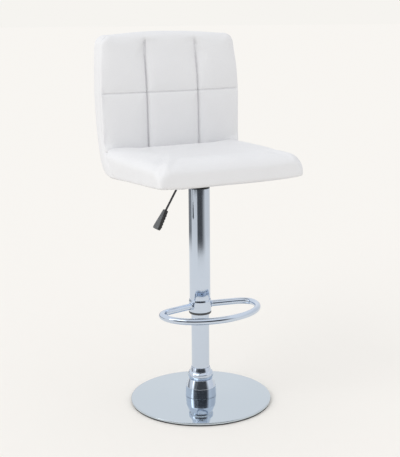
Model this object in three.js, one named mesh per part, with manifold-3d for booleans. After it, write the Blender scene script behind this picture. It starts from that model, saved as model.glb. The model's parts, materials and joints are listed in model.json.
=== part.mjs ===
// Adjustable swivel stool: round weighted base, gas column, footrest ring and an upholstered L-shaped seat.
// Millimetres, +Z up. The origin is on the floor under the column's axis, and the sitter faces -Y.
import * as THREE from 'three';
import { mergeVertices } from 'three/addons/utils/BufferGeometryUtils.js';
import Module from 'manifold-3d';

const manifoldLibrary = await Module();
manifoldLibrary.setup();

// ---- Driving dimensions -------------------------------------------------------------------------

const GAP = 0.3; // between pieces that touch
const WIDE_ROUND = 60; // sides of the base's turned pieces
const ROUND = 36; // sides of the column's turned pieces
const SMALL_ROUND = 16; // sides of a small turned piece

// Base
const BASE_RADIUS = 192.5;
const PAD_RADIUS = 191;
const PAD_THICKNESS = 3.4;
const PLATE_EDGE_TOP = 9; // top of the plate's rolled edge
const PLATE_CENTRE_TOP = 12.4; // top of the plate where the bell stands on it
const BELL_FOOT_RADIUS = 42.3;
const BELL_TOP = 62;
const COLLAR_TOP = 95;

// Telescopic column
const LOWER_TUBE_RADIUS = 24.3;
const LOWER_TUBE_BORE = 22.6;
const LOWER_TUBE_TOP = 440;
const UPPER_TUBE_RADIUS = 28.2;
const UPPER_TUBE_BORE = 26.7;
const UPPER_TUBE_BOTTOM = 254;
const UPPER_TUBE_TOP = 592;
const CYLINDER_RADIUS = 14;
const CYLINDER_BORE = 11.5;
const CYLINDER_BOTTOM = 150;
const CYLINDER_TOP = 603;
const ROD_RADIUS = 5;
const ROD_TOP = 385;

// Footrest
const RING_HEIGHT = 271; // centreline above the floor
const RING_TUBE_RADIUS = 8.6;
const RING_HALF_WIDTH = 137;
const RING_REACH = 152; // from the column's axis to the front of the centreline
const SLEEVE_RADIUS = 30.3;
const SLEEVE_TOP = 288;

// Seat
const SEAT_UNDERSIDE = 622;
const SEAT_HALF_WIDTH = 207.5;
const SEAT_FRONT = -190; // y of the front boxing
const SEAT_TOP = 691;
const BACK_REAR = 218; // y of the rear face at its top
const BACK_TOP = 995; // top of the back
const BOXING_DEPTH = 45; // width of the side panels around the seat and the back
const COVER_THICKNESS = 2.6;
const PLY_THICKNESS = 12;
const HEEL_RADIUS = 62; // outside bend between the underside and the rear face
const HEEL_Y = 124; // centre of that bend
const PLAN_CORNER = 26; // rounding of the front corners and of the back's top corners

// Fixing plate and lever
const PLATE_TOP = SEAT_UNDERSIDE - GAP;
const PLATE_THICKNESS = 3;
const SCREW_X = 72;
const SCREW_Y = 56;
const LEVER_HEIGHT = 610.2; // axis of the lever's level arm
const LEVER_PIVOT_X = -30;
const LEVER_WIRE_RADIUS = 2.75;
const LEVER_BEND_X = -57;
const LEVER_DROP_ANGLE = 59; // degrees below level

// Height of the heel bend's centre, shared by every layer of the seat's L section
const HEEL_Z = SEAT_UNDERSIDE + HEEL_RADIUS;

// ---- Colours ------------------------------------------------------------------------------------

const finish = (color, roughness, metalness) => ({ color, roughness, metalness });
const CHROME = finish(0xc9ced6, 0.12, 1);
const STEEL = finish(0x8e9196, 0.4, 1);
const BLACK_STEEL = finish(0x232426, 0.45, 0.6);
const BLACK_PLASTIC = finish(0x2b2c2e, 0.5, 0);
const PALE_PLASTIC = finish(0xd9d8d2, 0.5, 0);
const RUBBER = finish(0x1d1d1e, 0.85, 0);
const PLYWOOD = finish(0xc9a878, 0.7, 0);
const WHITE_LEATHER = finish(0xeeeeed, 0.5, 0);

// ---- Helpers ------------------------------------------------------------------------------------

const stool = new THREE.Group();

function add(name, geometry, look) {
  const mesh = new THREE.Mesh(geometry, new THREE.MeshStandardMaterial(look));
  mesh.name = name;
  stool.add(mesh);
  return mesh;
}

// Points on a circle in a section plane, from one angle to another in degrees.
function arc(centreU, centreV, radius, fromDegrees, toDegrees, steps) {
  const points = [];
  for (let i = 0; i <= steps; i += 1) {
    const angle = THREE.MathUtils.degToRad(fromDegrees + ((toDegrees - fromDegrees) * i) / steps);
    points.push([centreU + radius * Math.cos(angle), centreV + radius * Math.sin(angle)]);
  }
  return points;
}

// A turned solid about Z. The section is a list of [radius, height], with material on its left.
// A section that starts on the axis ends there too, and any other is closed into a ring.
function turned(section, sides = ROUND) {
  const points = section.map(([radius, height]) => new THREE.Vector2(radius, height));
  if (section[0][0] > 0) {
    points.push(points[0].clone());
  }
  const geometry = new THREE.LatheGeometry(points, sides);
  geometry.rotateX(Math.PI / 2);
  return geometry;
}

// A plain ring or washer about Z.
function ring(inner, outer, bottom, top, sides = ROUND) {
  return turned([[inner, bottom], [outer, bottom], [outer, top], [inner, top]], sides);
}

function outline(points) {
  return new THREE.Shape(points.map(([u, v]) => new THREE.Vector2(u, v)));
}

// A side view outline in (y, z), extruded along X between two values.
function extrudeAcross(points, fromX, toX) {
  const geometry = new THREE.ExtrudeGeometry(outline(points), {
    depth: toX - fromX,
    bevelEnabled: false,
  });
  const sideView = new THREE.Matrix4().makeBasis(
    new THREE.Vector3(0, 1, 0),
    new THREE.Vector3(0, 0, 1),
    new THREE.Vector3(1, 0, 0),
  );
  geometry.applyMatrix4(sideView);
  geometry.translate(fromX, 0, 0);
  return geometry;
}

// A plan outline in (x, y), extruded upwards between two heights.
function extrudeUp(points, fromZ, toZ) {
  const geometry = new THREE.ExtrudeGeometry(outline(points), {
    depth: toZ - fromZ,
    bevelEnabled: false,
  });
  geometry.translate(0, 0, fromZ);
  return geometry;
}

// A front view outline in (x, z), extruded backwards between two values of y.
function extrudeBack(points, fromY, toY) {
  const geometry = new THREE.ExtrudeGeometry(outline(points), {
    depth: toY - fromY,
    bevelEnabled: false,
  });
  geometry.rotateX(Math.PI / 2);
  geometry.translate(0, toY, 0);
  return geometry;
}

function box(fromX, toX, fromY, toY, fromZ, toZ) {
  const geometry = new THREE.BoxGeometry(toX - fromX, toY - fromY, toZ - fromZ);
  geometry.translate((fromX + toX) / 2, (fromY + toY) / 2, (fromZ + toZ) / 2);
  return geometry;
}

// A cylinder about the vertical line through (x, y).
function post(x, y, radius, bottom, top, sides = SMALL_ROUND) {
  const geometry = new THREE.CylinderGeometry(radius, radius, top - bottom, sides);
  geometry.rotateX(Math.PI / 2);
  geometry.translate(x, y, (bottom + top) / 2);
  return geometry;
}

// A cylinder along Y through (x, z).
function crossPin(x, z, radius, fromY, toY, sides = SMALL_ROUND) {
  const geometry = new THREE.CylinderGeometry(radius, radius, toY - fromY, sides);
  geometry.translate(x, (fromY + toY) / 2, z);
  return geometry;
}

// A round bar along a curve.
function bar(path, radius, sides, steps) {
  const section = new THREE.Shape();
  section.absarc(0, 0, radius, 0, 2 * Math.PI, false);
  return new THREE.ExtrudeGeometry(section, {
    extrudePath: path,
    steps,
    curveSegments: sides / 2,
    bevelEnabled: false,
  });
}

function solid(geometry) {
  const bare = geometry.clone();
  bare.deleteAttribute('normal');
  bare.deleteAttribute('uv');
  const merged = mergeVertices(bare, 1e-4);
  const mesh = new manifoldLibrary.Mesh({
    numProp: 3,
    vertProperties: new Float32Array(merged.attributes.position.array),
    triVerts: new Uint32Array(merged.index.array),
  });
  return new manifoldLibrary.Manifold(mesh);
}

function geometryOf(shape) {
  const mesh = shape.getMesh();
  const geometry = new THREE.BufferGeometry();
  geometry.setAttribute('position', new THREE.BufferAttribute(new Float32Array(mesh.vertProperties), 3));
  geometry.setIndex(new THREE.BufferAttribute(new Uint32Array(mesh.triVerts), 1));
  geometry.computeVertexNormals();
  return geometry;
}

function cut(body, ...tools) {
  return geometryOf(tools.reduce((left, tool) => left.subtract(solid(tool)), solid(body)));
}

function join(body, ...others) {
  return geometryOf(others.reduce((sum, other) => sum.add(solid(other)), solid(body)));
}

function overlap(body, ...others) {
  return geometryOf(others.reduce((common, other) => common.intersect(solid(other)), solid(body)));
}

// ---- Base ---------------------------------------------------------------------------------------

const HUB_RADIUS = 28.4;
const HUB_TOP = 55;
const WEIGHT_TOP = 7.3;

function basePlate() {
  const edgeRadius = 4;
  const sheet = 1.6;
  const edgeHeight = PLATE_EDGE_TOP - edgeRadius;
  const rim = BASE_RADIUS - edgeRadius;
  const hole = HUB_RADIUS + 0.6;
  return turned([
    [hole, PLATE_CENTRE_TOP - sheet],
    [rim, PLATE_EDGE_TOP - sheet],
    ...arc(rim, edgeHeight, edgeRadius - sheet, 60, 0, 2),
    [BASE_RADIUS - sheet, PAD_THICKNESS + GAP],
    [BASE_RADIUS, PAD_THICKNESS + GAP],
    ...arc(rim, edgeHeight, edgeRadius, 0, 90, 5),
    [hole, PLATE_CENTRE_TOP],
  ], WIDE_ROUND);
}

function buildBase() {
  const pad = [[0, 0], [PAD_RADIUS, 0], [PAD_RADIUS, PAD_THICKNESS], [0, PAD_THICKNESS]];
  add('floor_pad', turned(pad, WIDE_ROUND), RUBBER);
  add('base_plate', basePlate(), CHROME);
  const weightBottom = PAD_THICKNESS + GAP;
  add('base_weight', ring(HUB_RADIUS + 0.6, 186, weightBottom, WEIGHT_TOP - 0.6, WIDE_ROUND), STEEL);
  const hubFoot = PAD_THICKNESS + GAP;
  add('hub_socket', turned([
    [23.9, hubFoot],
    [HUB_RADIUS, hubFoot],
    [HUB_RADIUS, HUB_TOP],
    [LOWER_TUBE_RADIUS + GAP, HUB_TOP],
  ]), STEEL);
  add('base_bell', turned([
    [40.6, PLATE_CENTRE_TOP + GAP],
    [BELL_FOOT_RADIUS, PLATE_CENTRE_TOP + GAP],
    [41.6, 30],
    ...arc(35.4, 38.2, 6, 0, 38, 3),
    [32.6, BELL_TOP],
    [HUB_RADIUS + 0.6, BELL_TOP],
    [HUB_RADIUS + 0.6, 57.5],
    [38.4, 40],
    [39.9, 30],
  ]), CHROME);
  const collarFoot = BELL_TOP + GAP;
  add('collar_ring', turned([
    [LOWER_TUBE_RADIUS + GAP, collarFoot],
    [32.2, collarFoot],
    [33.6, 66],
    ...arc(28.4, 75, 6, -35, 55, 5),
    [28.6, 86],
    [25.9, COLLAR_TOP],
    [LOWER_TUBE_RADIUS + GAP, COLLAR_TOP],
  ]), CHROME);
}

// ---- Column parts that stand still ---------------------------------------------------------------

const WEB_BOTTOM = 20;
const WEB_TOP = 24;

function buildLowerColumn() {
  add('lower_column', turned([
    [ROD_RADIUS + 1, WEB_BOTTOM],
    [20.6, WEB_BOTTOM],
    [21.6, 12],
    [23.3, 12],
    [LOWER_TUBE_RADIUS, 50],
    [LOWER_TUBE_RADIUS, LOWER_TUBE_TOP],
    [LOWER_TUBE_BORE, LOWER_TUBE_TOP],
    [LOWER_TUBE_BORE, 50],
    [21.4, WEB_TOP],
    [ROD_RADIUS + 1, WEB_TOP],
  ]), CHROME);
  const bushBore = CYLINDER_RADIUS + 0.35;
  add('guide_bush', turned([
    [bushBore, 392],
    [LOWER_TUBE_BORE - GAP, 392],
    [LOWER_TUBE_BORE - GAP, LOWER_TUBE_TOP + GAP],
    [LOWER_TUBE_RADIUS, LOWER_TUBE_TOP + GAP],
    [LOWER_TUBE_RADIUS, LOWER_TUBE_TOP + 3],
    [bushBore, LOWER_TUBE_TOP + 3],
  ]), PALE_PLASTIC);
  const washerTop = WEB_TOP + GAP + 2.5;
  add('thrust_washer', ring(ROD_RADIUS + 0.6, 12, WEB_TOP + GAP, washerTop, SMALL_ROUND), STEEL);
  add('thrust_bearing', ring(ROD_RADIUS + 0.6, 12, washerTop + GAP, washerTop + 5, SMALL_ROUND), STEEL);
}

// ---- Piston: turns with the seat and stays at its height -----------------------------------------

const ROD_SHOULDER = 36;
const ROD_NECK_RADIUS = 4;

function buildPiston() {
  const groove = { bottom: 15.6, top: 17.6, radius: 3.2 };
  add('piston_rod', turned([
    [0, 12],
    [ROD_NECK_RADIUS, 12],
    [ROD_NECK_RADIUS, groove.bottom],
    [groove.radius, groove.bottom],
    [groove.radius, groove.top],
    [ROD_NECK_RADIUS, groove.top],
    [ROD_NECK_RADIUS, ROD_SHOULDER],
    [ROD_RADIUS, ROD_SHOULDER],
    [ROD_RADIUS, ROD_TOP - 9],
    [3.4, ROD_TOP - 9],
    [3.4, ROD_TOP + 6],
    [0, ROD_TOP + 6],
  ], SMALL_ROUND), STEEL);
  add('piston_head', turned([
    [3.4 + GAP, ROD_TOP - 8.7],
    [10.9, ROD_TOP - 8.7],
    [10.9, ROD_TOP - 5],
    [10, ROD_TOP - 5],
    [10, ROD_TOP - 2],
    [10.9, ROD_TOP - 2],
    [10.9, ROD_TOP + 4],
    [3.4 + GAP, ROD_TOP + 4],
  ], SMALL_ROUND), BLACK_PLASTIC);
  add('rod_washer', ring(ROD_NECK_RADIUS + GAP, 12, 33, ROD_SHOULDER - GAP, SMALL_ROUND), STEEL);
  const clip = ring(groove.radius + GAP, 8.5, groove.bottom + 0.25, groove.top - 0.25, SMALL_ROUND);
  add('rod_clip', cut(clip, box(0, 12, -2.2, 2.2, 12, 20)), STEEL);
  add('rubber_buffer', ring(ROD_RADIUS + GAP, 15, ROD_SHOULDER + GAP, 56, SMALL_ROUND), RUBBER);
}

// ---- Column parts that rise and turn with the seat -----------------------------------------------

function buildGasCylinder() {
  const bodyTop = 560;
  add('gas_cylinder', turned([
    [0, bodyTop],
    [CYLINDER_BORE, bodyTop],
    [CYLINDER_BORE, CYLINDER_BOTTOM],
    [CYLINDER_RADIUS, CYLINDER_BOTTOM],
    [CYLINDER_RADIUS, bodyTop],
    [13.2, CYLINDER_TOP],
    [4, CYLINDER_TOP],
    [4, 575],
    [0, 575],
  ]), BLACK_STEEL);
  const glandBottom = CYLINDER_BOTTOM + 2;
  const gland = ring(ROD_RADIUS + 0.35, CYLINDER_BORE - GAP, glandBottom, glandBottom + 16, SMALL_ROUND);
  add('rod_gland', gland, PALE_PLASTIC);
}

function buildUpperColumn() {
  add('upper_column', ring(UPPER_TUBE_BORE, UPPER_TUBE_RADIUS, UPPER_TUBE_BOTTOM, UPPER_TUBE_TOP), CHROME);
  const bushFoot = UPPER_TUBE_BOTTOM - 6;
  const bushBore = LOWER_TUBE_RADIUS + GAP;
  add('column_bushing', turned([
    [bushBore, bushFoot],
    [SLEEVE_RADIUS - 1, bushFoot],
    [SLEEVE_RADIUS, bushFoot + 1.2],
    [SLEEVE_RADIUS, UPPER_TUBE_BOTTOM - GAP],
    [UPPER_TUBE_BORE - GAP, UPPER_TUBE_BOTTOM - GAP],
    [UPPER_TUBE_BORE - GAP, UPPER_TUBE_BOTTOM + 36],
    [bushBore, UPPER_TUBE_BOTTOM + 36],
  ]), BLACK_PLASTIC);
  add('column_cap', turned([
    [SOCKET_RADIUS + GAP, UPPER_TUBE_TOP - 14],
    [UPPER_TUBE_BORE - GAP, UPPER_TUBE_TOP - 14],
    [UPPER_TUBE_BORE - GAP, UPPER_TUBE_TOP + GAP],
    [UPPER_TUBE_RADIUS, UPPER_TUBE_TOP + GAP],
    [UPPER_TUBE_RADIUS - 1, UPPER_TUBE_TOP + 2.6],
    [SOCKET_RADIUS + GAP, UPPER_TUBE_TOP + 2.6],
  ]), BLACK_PLASTIC);
}

// The footrest's centreline: a bar from each side of the sleeve, a tight rear corner, and half an ellipse.
function footrestPath() {
  const ellipseY = -55;
  const reach = RING_REACH + ellipseY;
  const at = (x, y) => new THREE.Vector3(x, y, 0);
  const corner = (side) => [
    at(side * 98, -19),
    at(side * 122, -24),
    at(side * RING_HALF_WIDTH, -36),
    at(side * RING_HALF_WIDTH, ellipseY),
  ];
  const path = new THREE.CurvePath();
  path.add(new THREE.LineCurve3(at(-22, -4), corner(-1)[0]));
  path.add(new THREE.CubicBezierCurve3(...corner(-1)));
  const front = [];
  const frontSteps = 24;
  for (let i = 0; i <= frontSteps; i += 1) {
    const angle = Math.PI * (1 - i / frontSteps);
    front.push(at(RING_HALF_WIDTH * Math.cos(angle), ellipseY - reach * Math.sin(angle)));
  }
  path.add(new THREE.CatmullRomCurve3(front));
  path.add(new THREE.CubicBezierCurve3(...corner(1).reverse()));
  path.add(new THREE.LineCurve3(corner(1)[0], at(22, -4)));
  return path;
}

function footrest() {
  const loop = bar(footrestPath(), RING_TUBE_RADIUS, 12, 60);
  loop.translate(0, 0, RING_HEIGHT);
  const sleeveFoot = UPPER_TUBE_BOTTOM + GAP;
  const sleeve = turned([
    [UPPER_TUBE_RADIUS - 2, sleeveFoot],
    [SLEEVE_RADIUS, sleeveFoot],
    [SLEEVE_RADIUS, SLEEVE_TOP - 9],
    [UPPER_TUBE_RADIUS + 0.9, SLEEVE_TOP],
    [UPPER_TUBE_RADIUS - 2, SLEEVE_TOP],
  ]);
  const bore = post(0, 0, UPPER_TUBE_RADIUS + GAP, sleeveFoot - 10, SLEEVE_TOP + 10, ROUND);
  return cut(join(loop, sleeve), bore);
}

// ---- Fixing plate, socket and lever ----------------------------------------------------------------

const SOCKET_RADIUS = 19;
const SOCKET_BOTTOM = 570;
const PLATE_BOTTOM = PLATE_TOP - PLATE_THICKNESS;
const PLATE_HALF_X = 90;
const PLATE_HALF_Y = 75;
const SCREW_RADIUS = 3;
const SCREW_PLACES = [[-1, -1], [1, -1], [1, 1], [-1, 1]].map(([x, y]) => [x * SCREW_X, y * SCREW_Y]);

function seatPlate() {
  const lip = PLATE_TOP - 15;
  const inner = PLATE_HALF_Y - PLATE_THICKNESS;
  const channel = extrudeAcross([
    [-PLATE_HALF_Y, lip],
    [-inner, lip],
    [-inner, PLATE_BOTTOM],
    [inner, PLATE_BOTTOM],
    [inner, lip],
    [PLATE_HALF_Y, lip],
    [PLATE_HALF_Y, PLATE_TOP - 3],
    [PLATE_HALF_Y - 3, PLATE_TOP],
    [3 - PLATE_HALF_Y, PLATE_TOP],
    [-PLATE_HALF_Y, PLATE_TOP - 3],
  ], -PLATE_HALF_X, PLATE_HALF_X);
  const holes = SCREW_PLACES.map(([x, y]) => post(x, y, SCREW_RADIUS + 0.6, PLATE_BOTTOM - 5, PLATE_TOP + 5));
  return cut(channel, ...holes);
}

function taperSocket() {
  const top = PLATE_BOTTOM - GAP;
  const tube = ring(CYLINDER_RADIUS + 0.4, SOCKET_RADIUS, SOCKET_BOTTOM, top, ROUND);
  return cut(tube, box(-30, 0, -4.5, 4.5, 599, top + 5));
}

const BRACKET_TOP = PLATE_BOTTOM - GAP;
const BRACKET_EAR = 8; // inner face of each ear from the middle

function leverBracket() {
  const outer = BRACKET_EAR + 2;
  const section = [
    [-outer, 602],
    [-BRACKET_EAR, 602],
    [-BRACKET_EAR, BRACKET_TOP - 2],
    [BRACKET_EAR, BRACKET_TOP - 2],
    [BRACKET_EAR, 602],
    [outer, 602],
    [outer, BRACKET_TOP],
    [-outer, BRACKET_TOP],
  ];
  const channel = extrudeAcross(section, LEVER_PIVOT_X - 6, LEVER_PIVOT_X + 6);
  return cut(channel, crossPin(LEVER_PIVOT_X, LEVER_HEIGHT, 2.4, -outer - 5, outer + 5));
}

// A hole along X for the lever's wire, centred on the origin.
function wireBore(length) {
  const radius = LEVER_WIRE_RADIUS + GAP;
  const bore = new THREE.CylinderGeometry(radius, radius, length, SMALL_ROUND);
  bore.rotateZ(Math.PI / 2);
  return bore;
}

function leverPivotBlock() {
  const halfX = 5.5;
  const halfY = BRACKET_EAR - 0.4;
  const block = new THREE.BoxGeometry(2 * halfX, 2 * halfY, 9.2);
  block.translate(LEVER_PIVOT_X, 0, LEVER_HEIGHT);
  const trunnions = crossPin(LEVER_PIVOT_X, LEVER_HEIGHT, 2, -BRACKET_EAR - 3, BRACKET_EAR + 3);
  const bore = wireBore(30);
  bore.translate(LEVER_PIVOT_X, 0, LEVER_HEIGHT);
  return cut(join(block, trunnions), bore);
}

// Unit vectors of the lever's dropped arm: along it, and square to its upper face.
const dropAngle = THREE.MathUtils.degToRad(LEVER_DROP_ANGLE);
const ARM_ALONG = new THREE.Vector3(-Math.cos(dropAngle), 0, -Math.sin(dropAngle));
const ARM_UP = new THREE.Vector3(-Math.sin(dropAngle), 0, Math.cos(dropAngle));
const ARM_START = new THREE.Vector3(LEVER_BEND_X, 0, LEVER_HEIGHT);
const HANDLE_START = 80; // along the dropped arm from the bend
const HANDLE_LENGTH = 56;
const HANDLE_THICKNESS = 10;
const WIRE_IN_HANDLE = 22;

function alongArm(distance) {
  return ARM_START.clone().addScaledVector(ARM_ALONG, distance);
}

function leverWire() {
  const bend = 12;
  const start = new THREE.Vector3(4, 0, LEVER_HEIGHT);
  const beforeBend = new THREE.Vector3(LEVER_BEND_X + bend, 0, LEVER_HEIGHT);
  const afterBend = alongArm(bend);
  const path = new THREE.CurvePath();
  path.add(new THREE.LineCurve3(start, beforeBend));
  path.add(new THREE.QuadraticBezierCurve3(beforeBend, ARM_START, afterBend));
  path.add(new THREE.LineCurve3(afterBend, alongArm(HANDLE_START + WIRE_IN_HANDLE)));
  return bar(path, LEVER_WIRE_RADIUS, 8, 20);
}

// A fan-shaped paddle with grip ribs that wrap its underside and the lower half of its sides.
function leverHandle() {
  const neck = 6.5;
  const end = 17.5;
  const round = 8;
  const edge = 1.5;
  const taper = THREE.MathUtils.radToDeg(Math.atan2(end - neck, HANDLE_LENGTH));
  const cornerU = HANDLE_LENGTH - round;
  const cornerV = end - round;
  const paddleOutline = outline([
    [0, -neck],
    ...arc(cornerU, -cornerV, round, taper - 90, 0, 4),
    ...arc(cornerU, cornerV, round, 0, 90 - taper, 4),
    [0, neck],
  ]);
  const paddle = new THREE.ExtrudeGeometry(paddleOutline, {
    depth: HANDLE_THICKNESS - 2 * edge,
    bevelThickness: edge,
    bevelSize: edge,
    bevelOffset: -edge,
    bevelSegments: 2,
  });
  paddle.translate(0, 0, edge - HANDLE_THICKNESS / 2);
  const ribs = [];
  const ribCount = 5;
  const ribHeight = 0.9;
  for (let i = 0; i < ribCount; i += 1) {
    const along = 14 + i * 8;
    const half = neck + ((end - neck) * (along - 2)) / HANDLE_LENGTH + ribHeight;
    ribs.push(box(along - 2, along + 2, -half, half, -HANDLE_THICKNESS / 2 - ribHeight, 1));
  }
  const handle = cut(join(paddle, ...ribs), wireBore(2 * WIRE_IN_HANDLE + 2));
  const placed = new THREE.Matrix4().makeBasis(ARM_ALONG, new THREE.Vector3(0, -1, 0), ARM_UP.clone());
  placed.setPosition(alongArm(HANDLE_START));
  handle.applyMatrix4(placed);
  return handle;
}

function buildRelease() {
  add('seat_plate', seatPlate(), BLACK_STEEL);
  add('taper_socket', taperSocket(), BLACK_STEEL);
  add('lever_bracket', leverBracket(), BLACK_STEEL);
  add('lever_pivot_block', leverPivotBlock(), BLACK_PLASTIC);
  add('lever_wire', leverWire(), BLACK_STEEL);
  add('lever_handle', leverHandle(), BLACK_PLASTIC);
  add('release_pin', turned([
    [0, 579],
    [3.6, 579],
    [3.6, CYLINDER_TOP + 1.2],
    [0, CYLINDER_TOP + 4.1],
  ], SMALL_ROUND), STEEL);
}

// ---- Seat ------------------------------------------------------------------------------------------

const PLY_BOTTOM = SEAT_UNDERSIDE + COVER_THICKNESS + 0.4;
const PLY_TOP = PLY_BOTTOM + PLY_THICKNESS;
const FOAM_CLEARANCE = 2.2; // room for the tee nuts' flanges
const HEEL_STEPS = 9;
const HEEL_END_ANGLE = -13; // where the heel bend runs into the rear face

// Rear face above the heel: y, z and how many degrees it leans back there.
const REAR_FACE = [
  [194, 715, 11],
  [199, 745, 8],
  [204, 785, 6],
  [208, 835, 4],
  [212, 900, 3.5],
  [216, 965, 3.5],
];

// The rear face at a depth inside it, from the heel up to the back's top.
function rearPath(depth, topZ) {
  const points = REAR_FACE.map(([y, z, lean]) => {
    const angle = THREE.MathUtils.degToRad(lean);
    return [y - depth * Math.cos(angle), z + depth * Math.sin(angle)];
  });
  return [...points, [BACK_REAR - depth, topZ]];
}

// An L section at one depth inside the rear and under faces, from the seat's front to the back's top.
function layerPath(depth, frontY, topZ) {
  return [
    [frontY, SEAT_UNDERSIDE + depth],
    ...arc(HEEL_Y, HEEL_Z, HEEL_RADIUS - depth, -90, HEEL_END_ANGLE, HEEL_STEPS),
    ...rearPath(depth, topZ),
  ];
}

// The region between two depths of the L section.
function layerOutline(outerDepth, innerDepth, frontY, topZ) {
  return [...layerPath(outerDepth, frontY, topZ), ...layerPath(innerDepth, frontY, topZ).reverse()];
}

// A block that rounds the seat's two front corners seen from above, inset from the outside.
function planBlock(inset) {
  const half = SEAT_HALF_WIDTH - inset;
  const front = SEAT_FRONT + inset;
  const radius = PLAN_CORNER - inset;
  return extrudeUp([
    ...arc(radius - half, front + radius, radius, 180, 270, 6),
    ...arc(half - radius, front + radius, radius, 270, 360, 6),
    [half, BACK_REAR + 20],
    [-half, BACK_REAR + 20],
  ], SEAT_UNDERSIDE - 20, BACK_TOP + 20);
}

// A block that rounds the back's two top corners seen from the front, inset from the outside.
function frontBlock(inset) {
  const half = SEAT_HALF_WIDTH - inset;
  const top = BACK_TOP - inset;
  const radius = PLAN_CORNER - inset;
  return extrudeBack([
    [-half, SEAT_UNDERSIDE - 20],
    [half, SEAT_UNDERSIDE - 20],
    ...arc(half - radius, top - radius, radius, 0, 90, 6),
    ...arc(radius - half, top - radius, radius, 90, 180, 6),
  ], SEAT_FRONT - 20, BACK_REAR + 20);
}

// A side view section extruded across the seat and rounded at its corners.
function shaped(section, inset) {
  const half = SEAT_HALF_WIDTH - inset;
  return overlap(extrudeAcross(section, -half, half), planBlock(inset), frontBlock(inset));
}

function screwHoles(radius, bottom, top) {
  return SCREW_PLACES.map(([x, y]) => post(x, y, radius, bottom, top));
}

// Underside, rear face and side panels, sewn into one tray that holds the plywood and the foam.
function outerCover() {
  const tray = shaped(layerOutline(0, BOXING_DEPTH, SEAT_FRONT, BACK_TOP), 0);
  const room = shaped(
    layerOutline(COVER_THICKNESS, BOXING_DEPTH + 10, SEAT_FRONT - 5, BACK_TOP + 5),
    COVER_THICKNESS,
  );
  return cut(tray, room, ...screwHoles(SCREW_RADIUS + 1, SEAT_UNDERSIDE - 5, PLY_BOTTOM + 5));
}

function plywoodShell() {
  const inset = COVER_THICKNESS + 4;
  const section = layerOutline(
    PLY_BOTTOM - SEAT_UNDERSIDE,
    PLY_TOP - SEAT_UNDERSIDE,
    SEAT_FRONT - 5,
    BACK_TOP,
  );
  return cut(shaped(section, inset), ...screwHoles(TEE_BARREL + GAP, PLY_BOTTOM - 5, PLY_TOP + 5));
}

const FOAM_INSET = COVER_THICKNESS + GAP;
const FOAM_DEPTH = PLY_TOP - SEAT_UNDERSIDE + FOAM_CLEARANCE;
const JUNCTION = { y: 150, z: SEAT_TOP - 2 }; // where the two cushions meet on the surface
const HEEL_SPLIT_ANGLE = -45; // where they meet on the plywood, round the heel bend

function seatCushion() {
  const frontRound = 20;
  const section = [
    [SEAT_FRONT, SEAT_UNDERSIDE + FOAM_DEPTH],
    ...arc(HEEL_Y, HEEL_Z, HEEL_RADIUS - FOAM_DEPTH, -90, HEEL_SPLIT_ANGLE, 5),
    [JUNCTION.y, JUNCTION.z],
    [40, SEAT_TOP - 1],
    [-90, SEAT_TOP],
    ...arc(SEAT_FRONT + FOAM_INSET + frontRound, SEAT_TOP - frontRound, frontRound, 90, 180, 5),
  ];
  return shaped(section, FOAM_INSET);
}

function backCushion() {
  const section = [
    [JUNCTION.y, JUNCTION.z + 0.8],
    ...arc(HEEL_Y, HEEL_Z, HEEL_RADIUS - FOAM_DEPTH, HEEL_SPLIT_ANGLE + 1, HEEL_END_ANGLE, 4),
    ...rearPath(FOAM_DEPTH, BACK_TOP + 5),
    [170, BACK_TOP + 5],
    [163, 965],
    [154, 920],
    [148, 870],
    [144, 820],
    [143, 770],
    [144, 720],
  ];
  return shaped(section, FOAM_INSET);
}

const TEE_BARREL = 4.4;
const SCREW_HEAD_TOP = PLATE_BOTTOM - 2;

function buildSeatFixings() {
  SCREW_PLACES.forEach(([x, y], index) => {
    const number = index + 1;
    const washer = ring(SCREW_RADIUS + 0.4, 8, SCREW_HEAD_TOP + GAP, PLATE_BOTTOM - GAP, SMALL_ROUND);
    add(`seat_washer_${number}`, washer, STEEL).position.set(x, y, 0);
    const screw = turned([
      [0, SCREW_HEAD_TOP - 4],
      [4, SCREW_HEAD_TOP - 4],
      [6, SCREW_HEAD_TOP - 2.4],
      [6, SCREW_HEAD_TOP],
      [SCREW_RADIUS, SCREW_HEAD_TOP],
      [SCREW_RADIUS, PLY_TOP + 1],
      [0, PLY_TOP + 1],
    ], SMALL_ROUND);
    add(`seat_screw_${number}`, screw, STEEL).position.set(x, y, 0);
    const nut = turned([
      [SCREW_RADIUS + GAP, PLY_BOTTOM + 3],
      [TEE_BARREL, PLY_BOTTOM + 3],
      [TEE_BARREL, PLY_TOP + GAP],
      [9, PLY_TOP + GAP],
      [9, PLY_TOP + 1.6],
      [SCREW_RADIUS + GAP, PLY_TOP + 1.6],
    ], SMALL_ROUND);
    add(`tee_nut_${number}`, nut, STEEL).position.set(x, y, 0);
  });
}

function buildSeat() {
  add('outer_cover', outerCover(), WHITE_LEATHER);
  add('plywood_shell', plywoodShell(), PLYWOOD);
  add('seat_cushion', seatCushion(), WHITE_LEATHER);
  add('back_cushion', backCushion(), WHITE_LEATHER);
}

buildBase();
buildLowerColumn();
buildPiston();
buildGasCylinder();
buildUpperColumn();
add('footrest', footrest(), CHROME);
buildRelease();
buildSeatFixings();
buildSeat();

export default stool;
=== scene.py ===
"""Looks of the adjustable swivel stool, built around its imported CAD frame.

Helpers take millimetres in the frame's axes (+Z up, the sitter faces -Y) and meshes are made in metres.
"""
import json
import math
import bmesh
import bpy
import numpy as np
from mathutils import Matrix, Vector, kdtree, noise


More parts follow.
